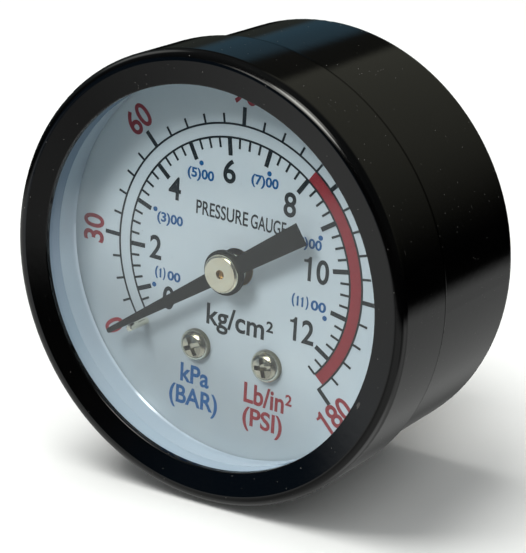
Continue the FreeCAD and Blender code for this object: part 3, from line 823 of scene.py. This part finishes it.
# Round patches of light: axis, degrees to the full core and to the edge, level, colour,
# and whether the patch is cut off at the horizon.
PATCHES = [
    ((-0.92, 0.06, 0.38), 14, 36, 0.085, (0.85, 1.05, 1.08), False),
    ((-0.2, -0.38, 0.89), 8, 22, 0.035, (1.0, 1.05, 0.9), False),
    ((-0.84, -0.12, 0.52), 5, 19, 0.95, (1.0, 1.0, 0.96), False),
    ((-0.51, 0.82, 0.27), 5, 11, 1.0, (0.05, 0.115, 0.165), False),
    ((-0.60, 0.80, 0.04), 3, 9, 1.0, (0.035, 0.04, 0.035), False),
    ((-0.19, -0.93, 0.30), 3, 11, 12.0, (1.0, 1.0, 0.93), True),
    ((-0.04, -0.84, 0.55), 2, 12, 3.6, (1.0, 1.0, 0.93), True),
    ((-0.36, -0.92, 0.10), 2, 11, 3.6, (1.0, 1.0, 0.93), True),
    ((-0.63, -0.76, -0.15), 8, 18, 1.0, (0.02, 0.05, 0.09), False),
]


def patch(tree, unit, axis, core, edge, level):
    cosine = tree.dot(unit, tuple(Vector(axis).normalized()))
    across = (math.cos(math.radians(edge)), math.cos(math.radians(core)))
    return tree.smooth(cosine, across=across, to=(0.0, level))


def tinted(tree, level, colour):
    grey = tree.add("ShaderNodeCombineColor", {0: level, 1: level, 2: level}).outputs[0]
    return tree.mix(1.0, grey, colour, "MULTIPLY")


def table_level(tree, unit, x, z, rear, front, aside):
    """Pale table, brightest in its own parts and fading out at a dark horizon."""
    front_level = tree.ramp(tree.times(x, -1.0), FRONT_TABLE)
    rear_level = tree.minus(0.46, tree.smooth(x, across=(-0.25, 0.05), to=(0.32, 0.0)))
    side_level = tree.plus(0.6, tree.smooth(x, across=(0.05, 0.5), to=(0.0, 0.28)))
    table = tree.plus(
        tree.times(rear, rear_level),
        tree.times(tree.times(aside, tree.minus(1.0, front)), side_level))
    table = tree.plus(table, tree.times(front, tree.red(front_level)))
    table = tree.plus(table, patch(tree, unit, (0.40, -0.18, -0.90), core=8, edge=24, level=0.7))
    # the horizon lies a little lower in front, except at the far left
    shift = tree.times(front, tree.smooth(x, across=(-0.66, -0.5), to=(0.0, 0.05)))
    table = tree.times(table, tree.smooth(tree.plus(z, shift), across=(-0.295, -0.20),
                                          to=(1.0, 0.0)))
    # a crisp table edge in one patch at the front left
    crisp = patch(tree, unit, (-0.53, -0.79, -0.33), core=6.5, edge=9.5, level=1.0)
    table = tree.plus(
        tree.times(table, tree.minus(1.0, crisp)),
        tree.times(crisp, tree.smooth(z, across=(-0.313, -0.300), to=(0.60, 0.0))))
    # and a dim patch at the right
    dim = patch(tree, unit, (0.84, -0.48, -0.33), core=8, edge=20, level=0.55)
    return tree.times(table, tree.minus(1.0, dim))


def studio_colour(tree, unit, x, y, z):
    """What polished surfaces see: table, dim room, warm wall behind and patches of light."""
    rear = tree.smooth(y, across=(0.15, 0.6))
    front = tree.smooth(y, across=(-0.6, -0.3), to=(1.0, 0.0))
    aside = tree.minus(1.0, rear)
    table = table_level(tree, unit, x, z, rear, front, aside)
    room = tree.plus(tree.smooth(z, across=(-0.02, 0.35), to=(0.0, 0.055)),
                     tree.smooth(z, across=(0.3, 0.8), to=(0.0, 0.045)))
    room = tree.times(room, tree.smooth(x, across=(0.25, 0.6), to=(1.0, 0.5)))
    room = tree.times(room, aside)
    wall = tree.times(rear, tree.smooth(z, across=(-0.06, 0.62), to=(0.0, 0.23)))
    wall = tree.times(wall, tree.smooth(x, across=(-0.27, -0.21), to=(0.12, 1.0)))
    colour = tree.mix(1.0, tinted(tree, table, (0.97, 0.985, 0.97)),
                      tinted(tree, room, (0.93, 1.0, 1.0)), "ADD")
    colour = tree.mix(1.0, colour, tinted(tree, wall, (1.0, 1.0, 0.80)), "ADD")
    for axis, core, edge, level, tint, cut in PATCHES:
        light = patch(tree, unit, axis, core, edge, level)
        if cut:
            light = tree.times(light, tree.smooth(z, across=(-0.03, 0.04)))
        colour = tree.mix(1.0, colour, tinted(tree, light, tint), "ADD")
    return colour


def add_world():
    world = bpy.data.worlds.new("studio")
    bpy.context.scene.world = world
    world.use_nodes = True
    tree = Shader(world.node_tree)
    direction = tree.add("ShaderNodeTexCoord").outputs["Generated"]
    unit = tree.add("ShaderNodeVectorMath", {0: direction}, operation="NORMALIZE").outputs[0]
    x, y, z = tree.split(unit)
    mirrored = tree.add("ShaderNodeBackground", {
        "Color": studio_colour(tree, unit, x, y, z), "Strength": 1.0}).outputs[0]
    # all other rays see a plain grey sky, from straight down (0) to straight up (1)
    sky = tree.ramp(tree.plus(tree.times(z, 0.5), 0.5), [(0.45, 0.5), (0.7, (0.85, 0.88, 0.92))])
    plain = tree.add("ShaderNodeBackground", {"Color": sky, "Strength": 0.38}).outputs[0]
    glossy = tree.add("ShaderNodeLightPath").outputs["Is Glossy Ray"]
    tree.add("ShaderNodeOutputWorld", {"Surface": tree.mix_shaders(glossy, plain, mirrored)})


add_camera()
add_lights(add_floor())
add_world()
bpy.context.scene.view_settings.view_transform = "Standard"
